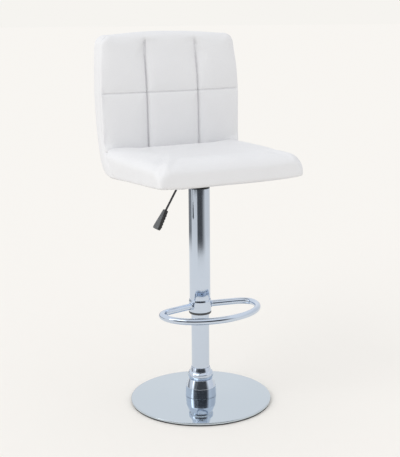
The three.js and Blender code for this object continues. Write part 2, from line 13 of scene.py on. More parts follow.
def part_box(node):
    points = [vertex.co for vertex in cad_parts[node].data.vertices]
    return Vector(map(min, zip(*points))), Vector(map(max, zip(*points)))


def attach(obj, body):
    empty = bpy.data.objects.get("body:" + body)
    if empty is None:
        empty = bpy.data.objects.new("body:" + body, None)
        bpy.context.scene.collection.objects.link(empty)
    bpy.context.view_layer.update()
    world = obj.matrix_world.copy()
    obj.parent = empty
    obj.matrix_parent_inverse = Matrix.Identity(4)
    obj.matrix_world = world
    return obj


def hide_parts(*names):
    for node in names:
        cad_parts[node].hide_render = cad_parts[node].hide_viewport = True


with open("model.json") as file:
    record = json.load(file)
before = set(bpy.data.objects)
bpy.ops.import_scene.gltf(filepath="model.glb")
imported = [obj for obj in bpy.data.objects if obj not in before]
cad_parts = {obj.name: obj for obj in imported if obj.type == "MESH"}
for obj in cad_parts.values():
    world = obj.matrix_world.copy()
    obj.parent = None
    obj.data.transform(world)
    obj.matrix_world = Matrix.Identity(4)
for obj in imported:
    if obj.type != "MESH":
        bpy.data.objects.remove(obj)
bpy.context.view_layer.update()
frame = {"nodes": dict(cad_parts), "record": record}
MM = 0.001


def extent(node):
    """Lowest and highest corner of a CAD node in millimetres."""
    lo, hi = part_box(node)
    return lo / MM, hi / MM


# ---- Materials ------------------------------------------------------------------------------------

def material(name, color, roughness, metallic=0.0, **sockets):
    """A principled material whose constants sit on the shader's own sockets."""
    mat = bpy.data.materials.new(name)
    mat.use_nodes = True
    shader = mat.node_tree.nodes["Principled BSDF"]
    shader.inputs["Base Color"].default_value = (*color, 1)
    shader.inputs["Roughness"].default_value = roughness
    shader.inputs["Metallic"].default_value = metallic
    for key, value in sockets.items():
        shader.inputs[key.replace("_", " ")].default_value = value
    return mat


def node(mat, kind, **inputs):
    new = mat.node_tree.nodes.new(kind)
    for key, value in inputs.items():
        new.inputs[key.replace("_", " ")].default_value = value
    return new


def link(mat, source, target):
    mat.node_tree.links.new(source, target)


def place_vector(mat, stretch=(1, 1, 1)):
    """Object coordinates, stretched, which move with the piece."""
    coordinates = node(mat, "ShaderNodeTexCoord")
    mapping = node(mat, "ShaderNodeMapping", Scale=stretch)
    link(mat, coordinates.outputs["Object"], mapping.inputs["Vector"])
    return mapping.outputs["Vector"]


def noise_value(mat, vector, scale, detail=3.0, roughness=0.5):
    texture = node(mat, "ShaderNodeTexNoise", Scale=scale, Detail=detail, Roughness=roughness)
    link(mat, vector, texture.inputs["Vector"])
    return texture.outputs["Fac"]


def remap(mat, value, low, high, to_low, to_high):
    """Maps one range of a value to another, clamped."""
    mapped = node(mat, "ShaderNodeMapRange", From_Min=low, From_Max=high, To_Min=to_low, To_Max=to_high)
    link(mat, value, mapped.inputs["Value"])
    return mapped.outputs["Result"]


def mix_colors(mat, factor, first, second):
    mix = mat.node_tree.nodes.new("ShaderNodeMix")
    mix.data_type = "RGBA"
    factor_in, first_in, second_in = (mix.inputs[i] for i in (0, 6, 7))
    link(mat, factor, factor_in)
    for socket, value in ((first_in, first), (second_in, second)):
        if isinstance(value, tuple):
            socket.default_value = (*value, 1)
        else:
            link(mat, value, socket)
    return mix.outputs[2]


def shader_of(mat):
    return mat.node_tree.nodes["Principled BSDF"]


def bump(mat, height, strength, distance, under=None):
    new = node(mat, "ShaderNodeBump", Strength=strength, Distance=distance)
    link(mat, height, new.inputs["Height"])
    if under:
        link(mat, under, new.inputs["Normal"])
    return new.outputs["Normal"]


def chrome_material(name, color, roughness, scratches):
    """Plated metal: faint waviness of the polish, fine scratches and a slightly uneven gloss."""
    mat = material(name, color, roughness, 1.0)
    vector = place_vector(mat)
    shader = shader_of(mat)
    cloud = noise_value(mat, vector, 9.0, 4.0, 0.6)
    link(mat, remap(mat, cloud, 0.3, 0.7, roughness * 0.75, roughness * 1.35), shader.inputs["Roughness"])
    tint = tuple(c * 0.955 for c in color)
    link(mat, mix_colors(mat, noise_value(mat, vector, 5.0, 2.0), color, tint), shader.inputs["Base Color"])
    fine = noise_value(mat, place_vector(mat, (40, 40, 900)), 1.0, 2.0)
    wave = bump(mat, noise_value(mat, vector, 22.0, 1.0), 0.05, 0.0006)
    link(mat, bump(mat, fine, scratches, 0.00002, wave), shader.inputs["Normal"])
    return mat


def leather_material(name, color, shade, roughness):
    """Soft grained synthetic leather: pebble cells, fine pores and mottled white, with painted shade: the
    pebble hollows and the sewn seams and channels are darkened toward the shade colour.
    """
    mat = material(name, color, roughness, Specular_IOR_Level=0.4)
    shader = shader_of(mat)
    vector = place_vector(mat)
    cells = node(mat, "ShaderNodeTexVoronoi", Scale=620.0)
    cells.feature = "DISTANCE_TO_EDGE"
    warp = node(mat, "ShaderNodeTexNoise", Scale=180.0, Detail=2.0)
    link(mat, vector, warp.inputs["Vector"])
    shift = mat.node_tree.nodes.new("ShaderNodeMixRGB")
    shift.blend_type = "ADD"
    shift.inputs["Fac"].default_value = 0.0022
    link(mat, vector, shift.inputs["Color1"])
    link(mat, warp.outputs["Color"], shift.inputs["Color2"])
    link(mat, shift.outputs["Color"], cells.inputs["Vector"])
    grain = remap(mat, cells.outputs["Distance"], 0.0, 0.16, 0.0, 1.0)
    soft = bump(mat, noise_value(mat, vector, 46.0, 3.0, 0.55), 0.22, 0.0008)
    pores = bump(mat, noise_value(mat, vector, 1500.0, 2.0), 0.12, 0.0001, soft)
    link(mat, bump(mat, grain, 0.35, 0.00022, pores), shader.inputs["Normal"])
    cloud = noise_value(mat, vector, 7.0, 4.0, 0.6)
    mottled = mix_colors(mat, remap(mat, cloud, 0.3, 0.7, 0.0, 1.0), color, tuple(c * 0.975 for c in color))
    # Painted shade: the hollows between the pebbles are mixed up to 9% toward the shade colour.
    pebbled = mix_colors(mat, remap(mat, grain, 0.0, 0.5, 0.09, 0.0), mottled, shade)
    # Painted shade: the crease_shade attribute made by sew darkens the sewn grooves toward the shade
    # colour.
    crease_shade = mat.node_tree.nodes.new("ShaderNodeAttribute")
    crease_shade.attribute_name = "crease_shade"
    link(mat, mix_colors(mat, crease_shade.outputs["Fac"], pebbled, shade), shader.inputs["Base Color"])
    link(mat, remap(mat, cloud, 0.25, 0.75, roughness - 0.06, roughness + 0.07), shader.inputs["Roughness"])
    return mat


def grained_material(name, color, roughness, metallic, scale, depth, worn=None):
    """Moulded or coated surface: a fine texture, cloudy gloss and lighter rubbed patches."""
    mat = material(name, color, roughness, metallic)
    shader = shader_of(mat)
    vector = place_vector(mat)
    cloud = noise_value(mat, vector, 28.0, 5.0, 0.62)
    link(mat, remap(mat, cloud, 0.3, 0.7, roughness - 0.07, roughness + 0.09), shader.inputs["Roughness"])
    rubbed = worn or tuple(min(1.0, c * 1.5 + 0.01) for c in color)
    tinted = mix_colors(mat, remap(mat, cloud, 0.45, 0.8, 0.0, 0.7), color, rubbed)
    link(mat, tinted, shader.inputs["Base Color"])
    link(mat, bump(mat, noise_value(mat, vector, scale, 3.0), 0.5, depth), shader.inputs["Normal"])
    return mat


def wood_material():
    """Plywood: veneer layers seen on the edge, with a streaked grain."""
    mat = material("plywood", (0.62, 0.47, 0.30), 0.65)
    shader = shader_of(mat)
    streaks = noise_value(mat, place_vector(mat, (90, 14, 700)), 1.0, 4.0)
    link(mat, mix_colors(mat, streaks, (0.66, 0.50, 0.33), (0.42, 0.28, 0.16)), shader.inputs["Base Color"])
    link(mat, bump(mat, streaks, 0.3, 0.0002), shader.inputs["Normal"])
    return mat


CHROME = chrome_material("chrome", (0.615, 0.69, 0.80), 0.07, 0.12)
PLATE_CHROME = chrome_material("base_chrome", (0.60, 0.665, 0.72), 0.06, 0.06)
STEEL = grained_material("zinc_steel", (0.56, 0.57, 0.59), 0.36, 1.0, 400.0, 0.00004, (0.66, 0.64, 0.58))
BLACK_STEEL = grained_material("black_steel", (0.035, 0.036, 0.04), 0.42, 0.0, 900.0, 0.00012)
BLACK_PLASTIC = grained_material("black_plastic", (0.05, 0.052, 0.056), 0.42, 0.0, 1400.0, 0.00010)
GRIP_PLASTIC = grained_material("grip_plastic", (0.085, 0.09, 0.095), 0.5, 0.0, 1400.0, 0.00012)
PALE_PLASTIC = grained_material(
    "pale_plastic", (0.80, 0.79, 0.75), 0.5, 0.0, 800.0, 0.00006, (0.86, 0.85, 0.81))
RUBBER = grained_material("rubber", (0.028, 0.028, 0.029), 0.8, 0.0, 1100.0, 0.00025)
PLYWOOD = wood_material()
LEATHER = leather_material("white_leather", (0.79, 0.79, 0.80), (0.36, 0.36, 0.40), 0.46)


# ---- Mesh helpers ---------------------------------------------------------------------------------

def piece(name, points, faces, mat, body, nodes=(), sharp=34):
    """A mesh object in millimetres that rides on a body and stands for some CAD nodes."""
    mesh = bpy.data.meshes.new(name)
    mesh.from_pydata([tuple(c * MM for c in p) for p in points], [], faces)
    work = bmesh.new()
    work.from_mesh(mesh)
    bmesh.ops.recalc_face_normals(work, faces=work.faces)
    work.to_mesh(mesh)
    work.free()
    for polygon in mesh.polygons:
        polygon.use_smooth = True
    if sharp:
        mesh.set_sharp_from_angle(angle=math.radians(sharp))
    mesh.materials.append(mat)
    made = bpy.data.objects.new(name, mesh)
    bpy.context.scene.collection.objects.link(made)
    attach(made, body)
    if nodes:
        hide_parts(*nodes)
    return made


def eased(profile, radius, steps=4):
    """Rounds a section's corners.

    An entry is (r, z) or (r, z, own radius), and radius 0 keeps it sharp.
    """
    count = len(profile)
    points = []
    for i, entry in enumerate(profile):
        here = Vector(entry[:2])
        own = entry[2] if len(entry) > 2 else radius
        before = Vector(profile[i - 1][:2]) - here
        after = Vector(profile[(i + 1) % count][:2]) - here
        on_axis = here.x <= 1e-9
        if own <= 0 or on_axis or before.length < 1e-9 or after.length < 1e-9:
            points.append(here)
            continue
        half = before.angle(after) / 2
        if half > math.radians(86):
            points.append(here)
            continue
        back = min(own / math.tan(half), before.length * 0.48, after.length * 0.48)
        start, end = here + before.normalized() * back, here + after.normalized() * back
        guard = min(0.35, back * 0.4)
        if before.length - back > 1.5:
            points.append(start + before.normalized() * guard)
        for k in range(steps + 1):
            t = k / steps
            points.append(start * (1 - t) ** 2 + here * 2 * t * (1 - t) + end * t * t)
        if after.length - back > 1.5:
            points.append(end + after.normalized() * guard)
    return points


def lathe(name, profile, mat, body, nodes=(), radius=0.6, sides=128, sharp=34):
    """A turned piece about Z from a closed section of (r, z), with its corners eased."""
    section = eased(profile, radius)
    points, rows = [], []
    for p in section:
        if p.x <= 1e-6:
            rows.append([len(points)] * sides)
            points.append((0, 0, p.y))
            continue
        rows.append(list(range(len(points), len(points) + sides)))
        for k in range(sides):
            a = 2 * math.pi * k / sides
            points.append((p.x * math.cos(a), p.x * math.sin(a), p.y))
    faces = []
    for i, row in enumerate(rows):
        other = rows[(i + 1) % len(rows)]
        for k in range(sides):
            n = (k + 1) % sides
            corners = []
            for index in (row[k], row[n], other[n], other[k]):
                if index not in corners:
                    corners.append(index)
            if len(corners) > 2:
                faces.append(corners)
    return piece(name, points, faces, mat, body, nodes, sharp)


def tube_mesh(path, radii, sides=20, closed=False):
    """Points and faces of a tube along a path, with a radius at each point and flat ends."""
    count = len(path)
    if not isinstance(radii, (list, tuple)):
        radii = [radii] * count
    up = Vector((0, 0, 1))
    points, faces = [], []
    last = None
    for i, p in enumerate(path):
        ahead = path[(i + 1) % count] if closed or i < count - 1 else p
        behind = path[i - 1] if closed or i > 0 else p
        along = (ahead - behind).normalized()
        if last is None:
            side = along.cross(up)
            if side.length < 1e-4:
                side = along.cross(Vector((0, 1, 0)))
            side.normalize()
        else:
            side = (last - along * last.dot(along)).normalized()
        last = side
        other = along.cross(side)
        for k in range(sides):
            a = 2 * math.pi * k / sides
            points.append(p + (side * math.cos(a) + other * math.sin(a)) * radii[i])
    for i in range(count if closed else count - 1):
        j = (i + 1) % count
        for k in range(sides):
            n = (k + 1) % sides
            faces.append((i * sides + k, i * sides + n, j * sides + n, j * sides + k))
    if not closed:
        faces.append(tuple(range(sides)))
        faces.append(tuple(range((count - 1) * sides, count * sides)))
    return points, faces


def joined(*parts):
    """Several (points, faces) pairs as one."""
    points, faces = [], []
    for some_points, some_faces in parts:
        offset = len(points)
        points += [tuple(p) for p in some_points]
        faces += [tuple(offset + i for i in face) for face in some_faces]
    return points, faces


def bezier(a, b, c, d, steps):
    """Points on a cubic curve, without its first point."""
    made = []
    for k in range(1, steps + 1):
        t = k / steps
        made.append(a * (1 - t) ** 3 + b * 3 * t * (1 - t) ** 2 + c * 3 * t * t * (1 - t) + d * t ** 3)
    return made


# ---- Base -----------------------------------------------------------------------------------------

def build_base():
    pad_hi = extent("floor_pad")[1]
    plate_lo, plate_hi = extent("base_plate")
    bell_lo, bell_hi = extent("base_bell")
    collar_lo, collar_hi = extent("collar_ring")
    column_top = extent("lower_column")[1].z
    bush_lo, bush_hi = extent("guide_bush")
    tube = extent("lower_column")[1].x
    pad, rim, centre = pad_hi.x, plate_hi.x, plate_hi.z
    sheet = 1.6
    edge = 9.0
    hole = 29.0
    lathe("floor_pad", [(0, 0.0), (pad, 0.0), (pad, pad_hi.z), (0, pad_hi.z)], RUBBER, "base",
          ["floor_pad"], 0.5, 200)
    lathe("base_plate", [
        (hole, centre - sheet), (60, centre - sheet - 0.4), (rim - 12, edge - sheet),
        (rim - 1.6, edge - 2.4), (rim - sheet, plate_lo.z, 0.3), (rim, plate_lo.z, 0.3),
        (rim, edge - 0.2, 3.6), (rim - 14, edge + 0.25, 8), (60, centre - 0.4, 20), (hole, centre, 0.4),
    ], PLATE_CHROME, "base", ["base_plate"], 0.8, 256)
    foot, top = bell_lo.z, bell_hi.z
    lathe("base_bell", [
        (bell_hi.x - 1.7, foot), (bell_hi.x, foot, 0.3), (bell_hi.x - 0.1, foot + 2.2, 0.5),
        (bell_hi.x - 0.7, 30, 6), (40.9, 40, 5), (37.2, 51, 8), (32.6, top, 1.2), (29.2, top), (29.2, 58),
        (38.0, 40), (39.9, 28),
    ], CHROME, "base", ["base_bell"], 0.6, 160)
    low, high, widest = collar_lo.z, collar_hi.z, collar_hi.x
    lathe("collar_ring", [
        (tube + 0.3, low), (31.0, low, 0.6), (32.2, 64.4, 1.0), (33.2, 66.4, 1.0),
        (widest, 70.5, 4.0), (widest, 77.5, 4.5), (31.4, 82.2, 2.0), (29.0, 84.0, 1.2),
        (27.8, 88.5, 2.4), (25.9, high - 1.4, 0.8), (25.7, high, 0.5), (tube + 0.3, high, 0.3),
    ], CHROME, "base", ["collar_ring"], 0.6, 160)
    lathe("lower_column", [
        (6, 20), (20.6, 20), (21.6, 12), (23.3, 12), (tube, 50, 2), (tube, column_top, 0.7),
        (22.6, column_top, 0.4), (22.6, 50), (21.4, 24), (6, 24),
    ], CHROME, "base", ["lower_column"], 0.4, 128)
    lathe("guide_bush", [
        (14.35, bush_lo.z), (22.3, bush_lo.z), (22.3, column_top + 0.3), (tube, column_top + 0.3),
        (tube, bush_hi.z, 0.8), (14.35, bush_hi.z, 0.5),
    ], PALE_PLASTIC, "base", ["guide_bush"], 0.3, 96)


# ---- Column and footrest ----------------------------------------------------------------------------

def ring_path():
    """Centreline of the footrest: bar, tight corner, half an ellipse, corner and bar."""
    height = 271.0
    ring_lo, ring_hi = extent("footrest")
    tube = 8.6
    half_width = ring_hi.x - tube
    centre_y = -55.0
    reach = centre_y - (ring_lo.y + tube)

    def at(x, y):
        return Vector((x, y, height))

    def corner(side):
        edge = side * half_width
        return [at(side * 98, -19), at(side * 122, -24), at(edge, -36), at(edge, centre_y)]

    path = [at(-22, -4).lerp(corner(-1)[0], k / 8) for k in range(9)]
    path += bezier(*corner(-1), 14)
    for k in range(1, 49):
        a = math.pi * (1 - k / 48)
        path.append(at(half_width * math.cos(a), centre_y - reach * math.sin(a)))
    path += bezier(*reversed(corner(1)), 14)
    path += [corner(1)[0].lerp(at(22, -4), k / 8) for k in range(1, 9)]
    return path, tube


def build_column():
    tube_lo, tube_hi = extent("upper_column")
    outer, bore, low, high = tube_hi.x, 26.7, tube_lo.z, tube_hi.z
    lathe("upper_column", [(bore, low), (outer, low, 0.3), (outer, high, 0.8), (bore, high, 0.4)], CHROME,
          "seat", ["upper_column"], 0.3, 144)
    bush_lo, bush_hi = extent("column_bushing")
    sleeve = bush_hi.x
    inner = extent("lower_column")[1].x + 0.3
    lathe("column_bushing", [
        (inner, bush_lo.z, 0.6), (sleeve - 1.4, bush_lo.z, 0.8), (sleeve, bush_lo.z + 1.6, 0.8),
        (sleeve, low - 0.3, 0.4), (bore - 0.3, low - 0.3), (bore - 0.3, bush_hi.z), (inner, bush_hi.z),
    ], BLACK_PLASTIC, "seat", ["column_bushing"], 0.3, 128)
    cap_lo, cap_hi = extent("column_cap")
    lathe("column_cap", [
        (19.3, cap_lo.z), (bore - 0.3, cap_lo.z), (bore - 0.3, high + 0.3), (outer, high + 0.3, 0.3),
        (outer - 0.8, cap_hi.z, 0.8), (19.3, cap_hi.z, 0.4),
    ], BLACK_PLASTIC, "seat", ["column_cap"], 0.3, 112)
    path, radius = ring_path()
    loop = tube_mesh(path, radius, 28)
    beads = []
    for side in (-1, 1):
        centre = Vector((side * 30.6, -5.7, path[0].z))
        along = (path[8] - path[0]).normalized() if side < 0 else (path[-9] - path[-1]).normalized()
        across = along.cross(Vector((0, 0, 1))).normalized()
        rim = []
        for k in range(40):
            a = 2 * math.pi * k / 40
            wobble = 0.25 * math.sin(9 * a + side)
            sag = -0.9 * abs(math.cos(a)) ** 2
            rim.append(centre + (across * math.cos(a) + Vector((0, 0, math.sin(a)))) * (radius + 0.3)
                       + along * (wobble - sag - 0.8))
        beads.append(tube_mesh(rim, 1.7, 10, closed=True))
    points, faces = joined(loop, *beads)
    piece("footrest", points, faces, CHROME, "seat", ["footrest"])
    foot, top = low + 0.3, 288.0
    lathe("footrest_sleeve", [
        (outer + 0.15, foot, 0.3), (sleeve, foot, 0.7), (sleeve, top - 5, 3.0),
        (outer + 0.9, top - 0.4, 0.6), (outer + 0.15, top, 0.2),
    ], CHROME, "seat", (), 0.5, 128)


# ---- Fixing plate and lever -------------------------------------------------------------------------

def build_release():
    socket_lo, socket_hi = extent("taper_socket")
    radius, bore, low, high = socket_hi.x, 14.4, socket_lo.z, socket_hi.z
    lathe("taper_socket", [
        (bore, low, 0.5), (radius, low, 1.2), (radius, high - 5, 2), (radius + 2.6, high - 1.2, 1.5),
        (radius + 3.4, high, 0.3), (bore, high),
    ], BLACK_STEEL, "seat", ["taper_socket"], 0.4, 96)
    height, bend_x, wire = 610.2, -57.0, 2.75
    drop = math.radians(59)
    along = Vector((-math.cos(drop), 0, -math.sin(drop)))
    up = Vector((-math.sin(drop), 0, math.cos(drop)))
    corner = Vector((bend_x, 0, height))
    reach = 14.0
    first, last = corner + Vector((reach, 0, 0)), corner + along * reach
    path = [Vector((4, 0, height)).lerp(first, k / 6) for k in range(7)]
    path += bezier(first, first.lerp(corner, 0.62), last.lerp(corner, 0.62), last, 14)
    path += [last.lerp(corner + along * 103, k / 14) for k in range(1, 15)]
    points, faces = tube_mesh(path, wire, 18)
    piece("lever_wire", points, faces, BLACK_STEEL, "lever", ["lever_wire"])
    build_handle(corner + along * 80, along, up)


def build_handle(start, along, up):
    """The grip: a fan-shaped moulding with crisp edges, and ribs round its sides and underside."""
    across = along.cross(up)
    length, thick = 56.0, 11.0
    neck, spread = 6.5, 11.0
    first_rib, last_rib, rib_pitch, rib_height = 10, 50, 8, 1.1
    squareness = 0.36
    rounded_from = 0.82
    rows, columns = 72, 44
    points, faces = [], []
    for i in range(rows + 1):
        t = i / rows
        grow = 1 - (1 - min(1, t / 0.06)) ** 2
        end = max(0.0, (t - rounded_from) / (1 - rounded_from))
        round_off = math.sqrt(max(0.0, 1 - end ** 2.4))
        half = (neck + spread * t ** 1.1) * (0.78 + 0.22 * grow) * (0.3 + 0.7 * round_off)
        depth = thick / 2 * (0.8 + 0.2 * grow) * (0.55 + 0.45 * round_off)
        eased_end = rounded_from + (1 - rounded_from) * math.sin(end * math.pi / 2)
        place = length * (t if end == 0 else eased_end)
        rib = 0.0
        if first_rib < place < last_rib:
            rib = rib_height * smooth(-0.2, 0.5, math.cos((place - 14) / rib_pitch * 2 * math.pi))
        for k in range(columns):
            a = 2 * math.pi * k / columns
            c, s = math.cos(a), math.sin(a)
            x = half * math.copysign(abs(c) ** squareness, c)
            z = depth * math.copysign(abs(s) ** squareness, s)
            lower = 1 - smooth(-0.1 * depth, 0.5 * depth, z)
            if lower:
                x += math.copysign(rib * lower * smooth(0.7, 0.98, abs(x) / half), x)
                z -= rib * smooth(0.7, 1.0, -z / depth)
            else:
                z += 0.7 * (1 - (x / half) ** 2) * round_off * smooth(0.7, 1.0, z / depth)
            points.append(start + along * place + across * x + up * z)
    for i in range(rows):
        here, there = i * columns, (i + 1) * columns
        for k in range(columns):
            n = (k + 1) % columns
            faces.append((here + k, here + n, there + n, there + k))
    faces.append(tuple(range(columns)))
    faces.append(tuple(range(rows * columns, (rows + 1) * columns)))
    node_names = ["lever_handle"]
    handle = piece("lever_handle", points, faces, GRIP_PLASTIC, "lever", node_names, 40)
    handle.data.materials.append(RUBBER)
    for polygon in handle.data.polygons:
        polygon.material_index = int(abs(polygon.normal.dot(across)) > 0.6)


# ---- Upholstery -------------------------------------------------------------------------------------

HALF = extent("outer_cover")[1].x
FRONT = extent("outer_cover")[0].y
TOP = extent("outer_cover")[1].z
SEAT = extent("seat_cushion")[1].z
JUNCTION_Z = SEAT - 2  # where the back cushion meets the seat
BACK_LOW = JUNCTION_Z - 12  # the back cushion's foot, sunk into the seat
SEAT_LOW = 638.0  # the seat cushion's lower edge before it follows the underside
SEAM_X = 77.0  # the two upright seams of the back, each side of the middle
SEAM_Z = 836.0  # the level seam of the back
BACK_THICK = 34


def smooth(low, high, x):
    t = min(1.0, max(0.0, (x - low) / (high - low)))
    return t * t * (3 - 2 * t)


def block(counts, place):
    """Closed quad mesh of a box lattice: place(i, j, k) gives the point of each outside lattice corner."""
    nx, ny, nz = counts
    index, points = {}, []

    def corner(i, j, k):
        if (i, j, k) not in index:
            index[i, j, k] = len(points)
            points.append(place(i, j, k))
        return index[i, j, k]

    def quad(*corners):
        faces.append([corner(*place_in) for place_in in corners])

    faces = []
    for i in range(nx):
        for j in range(ny):
            for k in (0, nz):
                quad((i, j, k), (i + 1, j, k), (i + 1, j + 1, k), (i, j + 1, k))
    for i in range(nx):
        for k in range(nz):
            for j in (0, ny):
                quad((i, j, k), (i + 1, j, k), (i + 1, j, k + 1), (i, j, k + 1))
    for j in range(ny):
        for k in range(nz):
            for i in (0, nx):
                quad((i, j, k), (i, j + 1, k), (i, j + 1, k + 1), (i, j, k + 1))
    return points, faces, index


def softened(p, low, high, radii):
    """Moves a point on a box's surface to the same box with elliptically rounded edges."""
    inner, offset = [], []
    for value, lo, hi, r in zip(p, low, high, radii):
        q = min(max(value, lo + r), hi - r)
        inner.append(q)
        offset.append((value - q) / r)
    size = math.sqrt(sum(o * o for o in offset))
    if size < 1e-9:
        return list(p)
    return [q + o / max(size, 1.0) * r if size > 0 else q for q, o, r in zip(inner, offset, radii)]


def spline(stations, t):
    """Catmull-Rom point at t in 0..1 through a list of tuples."""
    span = len(stations) - 1
    k = min(int(t * span), span - 1)
    u = t * span - k
    a, b = Vector(stations[max(k - 1, 0)]), Vector(stations[k])
    c, d = Vector(stations[k + 1]), Vector(stations[min(k + 2, span)])
    square, cube = 2 * a - 5 * b + 4 * c - d, 3 * b - a - 3 * c + d
    return 0.5 * ((2 * b) + (c - a) * u + square * u * u + cube * u ** 3)


# Side view stations (outer y, outer z, seam y, seam z) of the shell, from the seat's front to its top.
STATIONS = [
    (-190, 632, -190, 668), (-130, 629, -130, 668), (-60, 625, -60, 667), (26, 621, 26, 666),
    (95, 617, 90, 664), (135, 620, 118, 666), (162, 634, 138, 674), (178, 656, 149, 688),
    (188, 685, 155, 704), (197, 722, 159, 730), (204, 770, 161, 780), (208, 830, 162, 835),
    (212, 896, 164, 900), (216, 955, 168, 958), (218, 990, 170, 990),
]
DEPTH = 45.0
CORNER_TOP = 28.0
CORNER_FRONT = 11.0
# The back's face: height, y at its middle, and how much further back it runs towards the sides.
FACE = [
    (680, 136, 18), (700, 135.5, 18), (760, 137, 17), (830, 139, 15), (870, 143, 12), (900, 147, 9),
    (941, 155, 4), (965, 158.5, 1.5), (1000, 163, 0),
]


def arc_table():
    """Arc length along the shell's outer line against the spline's parameter."""
    count = 400
    walk = [spline(STATIONS, k / count) for k in range(count + 1)]
    length = [0.0]
    for a, b in zip(walk, walk[1:]):
        middle = (a[:2], a[2:], b[:2], b[2:])
        step = [math.dist(middle[0], middle[2]), math.dist(middle[1], middle[3])]
        length.append(length[-1] + 0.5 * sum(step))
    return np.array(length), np.linspace(0, 1, count + 1)


LENGTHS, PARAMETERS = arc_table()
PATH = float(LENGTHS[-1])


def half_width(z):
    """Half width of the seat and back at a height: the back is widest at its middle, narrower above."""
    heights = [600, 690, 760, 834, 900, 963, 996]
    return float(np.interp(z, heights, [206.5, 205.5, 206.5, 207.5, 205, 200, 198]))


def rounded_corner(x, s, half, end, radius):
    """Moves a point of a square outline corner onto a circle, for corners near s = end."""
    across, along = (abs(x) - (half - radius)) / radius, abs(s) - (end - radius)
    along /= radius
    if across <= 0 or along <= 0:
        return x, s
    across, along = min(across, 1.0), min(along, 1.0)
    new_across = across * math.sqrt(1 - along * along / 2)
    new_along = along * math.sqrt(1 - across * across / 2)
    new_x, new_s = half - radius + new_across * radius, end - radius + new_along * radius
    return math.copysign(new_x, x), math.copysign(new_s, s)


def shell_point(p):
    """World point of the shell for (across -1..1 x HALF, along the path, depth from the outside)."""
    middle = PATH / 2
    rim = 5 if p[2] < DEPTH / 2 else 1.8 + 3.2 * smooth(0.8 * middle, middle, p[1])
    x, s, d = softened(p, (-HALF, 0, 0), (HALF, PATH, DEPTH), (5, 5, rim))
    radius = CORNER_TOP if s > middle else CORNER_FRONT
    x, centred = rounded_corner(x, s - middle, HALF, middle, radius)
    s = centred + middle
    t = float(np.interp(s, LENGTHS, PARAMETERS))
    station = spline(STATIONS, t)
    share = d / DEPTH
    y = station[0] + (station[2] - station[0]) * share
    z = station[1] + (station[3] - station[1]) * share
    relative = x / HALF
    puff = 2.2 * smooth(0.7 * middle, middle, s) * math.sin(math.pi * min(1, max(0, share)))
    covered = 1 - smooth(70, 130, y)
    puff *= smooth(0.9, 1.0, abs(relative))
    x = relative * (half_width(z) - 3.5 * covered) + math.copysign(puff, x)
    y += 3.5 * (1 - smooth(-190, -150, y))
    under = 1 - smooth(90, 170, y)
    crown = (1 - relative ** 2) * (1 - share)
    z -= under * crown * 1.5 * smooth(-190, -120, y)
    z -= under * (1 - share) * 4.5 * (1 - relative ** 4) * (1 - smooth(-190, -30, y))
    y += (1 - under) * crown * 3.0 * smooth(700, 780, z)
    z += (6 - 6 * min(1.3, (x / 140) ** 2)) * smooth(PATH - 60, PATH, s)
    return Vector((x, y, z))


def groove(distance, reach, depth):
    """Depth of a sewn channel between two pillows at a distance from its line."""
    away = abs(distance) / reach
    return depth * (1 - math.sqrt(1 - (1 - away) ** 2)) if away < 1 else 0.0


def quilt(x, z):
    """How far the sewn lines pull the back's face in at a place."""
    channel = max(groove(x - side * SEAM_X, 17, 15) for side in (-1, 1)) * (1 - smooth(962, 986, z))
    return max(channel, channel * 0.7 + groove(z - SEAM_Z, 17, 4.6))


def back_point(p):
    """World point of the back cushion for (x, z, depth behind the face)."""
    top = TOP + 1
    tight = 1 - smooth(700, 735, p[1])
    radii = (24, 15 - 9 * tight, 12 - 6 * tight)
    x, z, d = softened(p, (-HALF, BACK_LOW, 0), (HALF, top, BACK_THICK), radii)
    middle = (BACK_LOW + top) / 2
    if z > middle:
        x, centred = rounded_corner(x, z - middle, HALF, top - middle, CORNER_TOP)
        z = centred + middle
    relative = x / HALF
    front = 1 - smooth(0, 12, d)
    x = relative * half_width(z)
    heights, centres, barrels = zip(*FACE)
    face = float(np.interp(z, heights, centres))
    barrel = float(np.interp(z, heights, barrels)) * abs(relative) ** 2.2
    y = face + d + (quilt(x, z) + barrel) * (0.25 + 0.75 * front)
    fillet = 12 * (1 - smooth(JUNCTION_Z - 4, JUNCTION_Z + 24, z)) * smooth(150, 206, abs(x))
    y -= fillet * front
    z -= 6 * min(1.3, (x / 140) ** 2) * smooth(930, top, z)
    for side in (-1, 1):
        z -= 5 * math.exp(-((x - side * SEAM_X) / 13) ** 2) * (1 - smooth(JUNCTION_Z, JUNCTION_Z + 20, z))
    return Vector((x, y, z))


